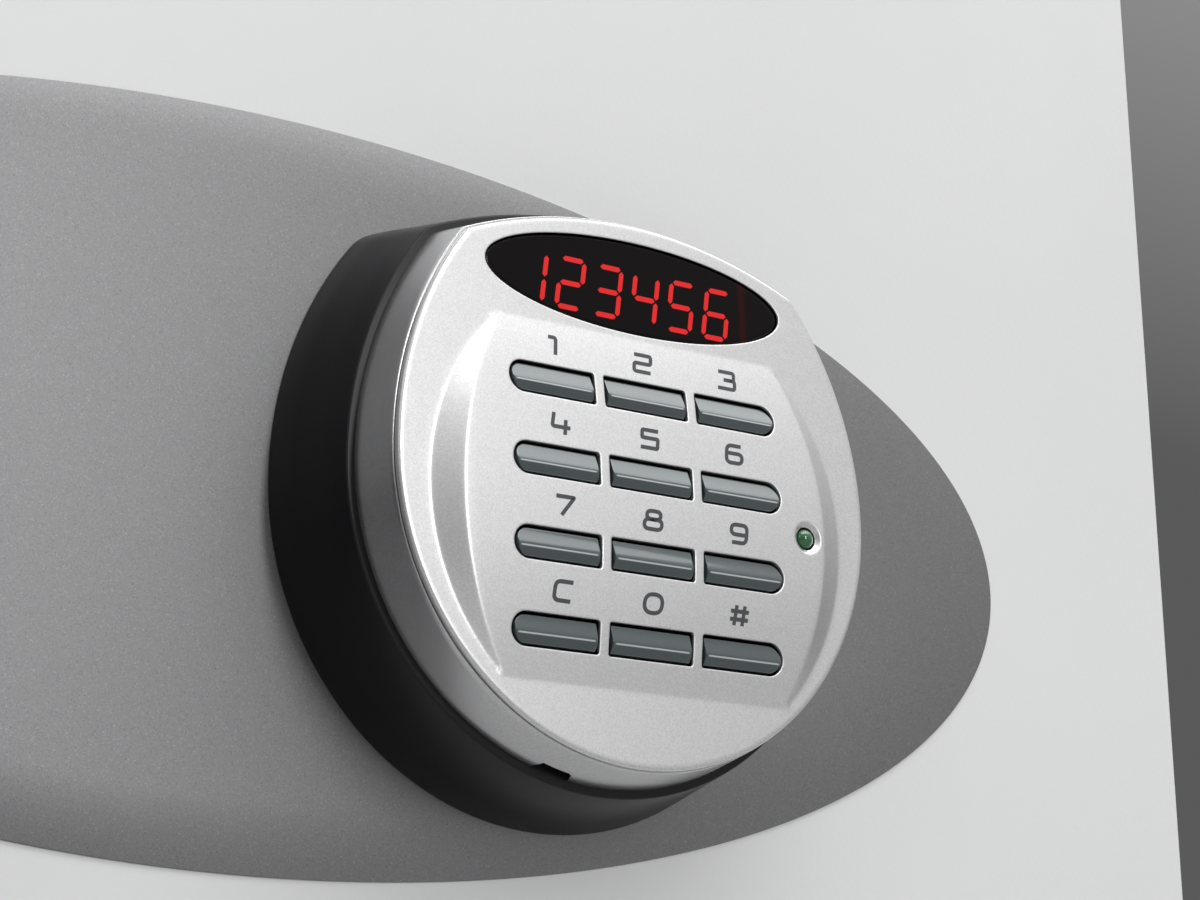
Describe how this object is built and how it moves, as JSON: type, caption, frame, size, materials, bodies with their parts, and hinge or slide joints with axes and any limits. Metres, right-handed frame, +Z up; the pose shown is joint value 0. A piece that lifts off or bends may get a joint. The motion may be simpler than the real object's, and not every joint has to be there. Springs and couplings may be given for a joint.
{
  "type": "electronic safe",
  "caption": "Compact fire and security safe with an electronic keypad lock, lever handle, sliding boltwork and an overlaid door on external hinges.",
  "frame": {"origin": "centre of the two floor anchor holes, on the underside of the cabinet", "axes": "+X to the right as one faces the door, +Y into the safe (the door faces -Y), +Z up"},
  "size_m": [0.423, 0.3954, 0.35],
  "materials": {
    "cabinet_paint": "satin",
    "door_paint": "satin",
    "interior_paint": "satin",
    "plain_steel": "satin",
    "fire_fill": "matte",
    "sleeve_plastic": "matte",
    "seal_rubber": "matte",
    "oval_paint": "matte",
    "cable_jacket": "satin",
    "lock_casting": "satin",
    "black_plastic": "satin",
    "handle_silver": "satin",
    "battery_jacket": "satin",
    "contact_brass": "satin",
    "silver_plastic": "satin",
    "window_plastic": "gloss",
    "lamp_green": "gloss",
    "board_laminate": "satin",
    "key_plastic": "gloss"
  },
  "bodies": {
    "cabinet": {"cabinet_wrap": "cabinet_paint", "back_panel": "cabinet_paint", "front_frame": "cabinet_paint", "strike_boxes": "cabinet_paint", "inner_liner": "interior_paint", "cabinet_insulation": "fire_fill", "anchor_sleeves": "sleeve_plastic", "shelf": "interior_paint", "shelf_clips": "interior_paint", "door_seal": "seal_rubber", "hinge_brackets": "cabinet_paint", "hinge_pins": "plain_steel"},
    "door": {"hinge_knuckles": "cabinet_paint", "door_skin": "door_paint", "door_insulation": "fire_fill", "door_back_plate": "plain_steel", "oval_plate": "oval_paint", "spindle_tube": "plain_steel", "cable_tube": "sleeve_plastic", "lock_cable": "cable_jacket", "boltwork_cover": "interior_paint", "cover_pillars": "plain_steel", "panel_screws": "plain_steel", "dog_bar": "plain_steel", "bolt_guide": "plain_steel", "guide_studs": "plain_steel", "lock_unit": "lock_casting", "handle_rose": "black_plastic", "keypad_base": "black_plastic", "battery_tray": "black_plastic", "battery_contacts": "contact_brass", "batteries": "battery_jacket"},
    "handle": {"handle_lever": "handle_silver", "handle_cap": "handle_silver", "handle_spindle": "plain_steel", "crank": "plain_steel", "crank_screw": "plain_steel"},
    "boltwork": {"carriage_plate": "plain_steel", "locking_bolts": "plain_steel"},
    "plunger": {"lock_plunger": "plain_steel"},
    "keypad_front": {"front_shell": "silver_plastic", "fascia": "silver_plastic", "display_window": "window_plastic", "display_module": "black_plastic", "status_led": "lamp_green", "circuit_board": "board_laminate", "board_screws": "plain_steel", "key_mat": "seal_rubber"},
    "key_1": {"key_1": "key_plastic"},
    "key_2": {"key_2": "key_plastic"},
    "key_3": {"key_3": "key_plastic"},
    "key_4": {"key_4": "key_plastic"},
    "key_5": {"key_5": "key_plastic"},
    "key_6": {"key_6": "key_plastic"},
    "key_7": {"key_7": "key_plastic"},
    "key_8": {"key_8": "key_plastic"},
    "key_9": {"key_9": "key_plastic"},
    "key_c": {"key_c": "key_plastic"},
    "key_0": {"key_0": "key_plastic"},
    "key_hash": {"key_hash": "key_plastic"}
  },
  "joints": [
    {"name": "door_hinge", "type": "hinge", "parent": "cabinet", "child": "door", "pos_m": [0.212, -0.17, 0.175], "axis": [0, 0, 1], "range_deg": [0, 110]},
    {"name": "handle_turn", "type": "hinge", "parent": "door", "child": "handle", "pos_m": [-0.083, -0.2025, 0.175], "axis": [0, 1, 0], "range_deg": [0, 70]},
    {"name": "bolt_throw", "type": "slide", "parent": "door", "child": "boltwork", "axis": [-1, 0, 0], "range_m": [0, 0.01721]},
    {"name": "plunger_slide", "type": "slide", "parent": "door", "child": "plunger", "axis": [0, 0, 1], "range_m": [0, 0.008]},
    {"name": "keypad_release", "type": "slide", "parent": "door", "child": "keypad_front", "axis": [0, -1, 0], "range_m": [0, 0.045]},
    {"name": "key_1_press", "type": "slide", "parent": "keypad_front", "child": "key_1", "axis": [0, 1, 0], "range_m": [0, 0.0006], "stiffness_N_per_m": 900},
    {"name": "key_2_press", "type": "slide", "parent": "keypad_front", "child": "key_2", "axis": [0, 1, 0], "range_m": [0, 0.0006], "stiffness_N_per_m": 900},
    {"name": "key_3_press", "type": "slide", "parent": "keypad_front", "child": "key_3", "axis": [0, 1, 0], "range_m": [0, 0.0006], "stiffness_N_per_m": 900},
    {"name": "key_4_press", "type": "slide", "parent": "keypad_front", "child": "key_4", "axis": [0, 1, 0], "range_m": [0, 0.0006], "stiffness_N_per_m": 900},
    {"name": "key_5_press", "type": "slide", "parent": "keypad_front", "child": "key_5", "axis": [0, 1, 0], "range_m": [0, 0.0006], "stiffness_N_per_m": 900},
    {"name": "key_6_press", "type": "slide", "parent": "keypad_front", "child": "key_6", "axis": [0, 1, 0], "range_m": [0, 0.0006], "stiffness_N_per_m": 900},
    {"name": "key_7_press", "type": "slide", "parent": "keypad_front", "child": "key_7", "axis": [0, 1, 0], "range_m": [0, 0.0006], "stiffness_N_per_m": 900},
    {"name": "key_8_press", "type": "slide", "parent": "keypad_front", "child": "key_8", "axis": [0, 1, 0], "range_m": [0, 0.0006], "stiffness_N_per_m": 900},
    {"name": "key_9_press", "type": "slide", "parent": "keypad_front", "child": "key_9", "axis": [0, 1, 0], "range_m": [0, 0.0006], "stiffness_N_per_m": 900},
    {"name": "key_c_press", "type": "slide", "parent": "keypad_front", "child": "key_c", "axis": [0, 1, 0], "range_m": [0, 0.0006], "stiffness_N_per_m": 900},
    {"name": "key_0_press", "type": "slide", "parent": "keypad_front", "child": "key_0", "axis": [0, 1, 0], "range_m": [0, 0.0006], "stiffness_N_per_m": 900},
    {"name": "key_hash_press", "type": "slide", "parent": "keypad_front", "child": "key_hash", "axis": [0, 1, 0], "range_m": [0, 0.0006], "stiffness_N_per_m": 900}
  ],
  "couplings": [
    {"joint": "bolt_throw", "follows": "handle_turn", "m_per_rad": 0.014084}
  ]
}
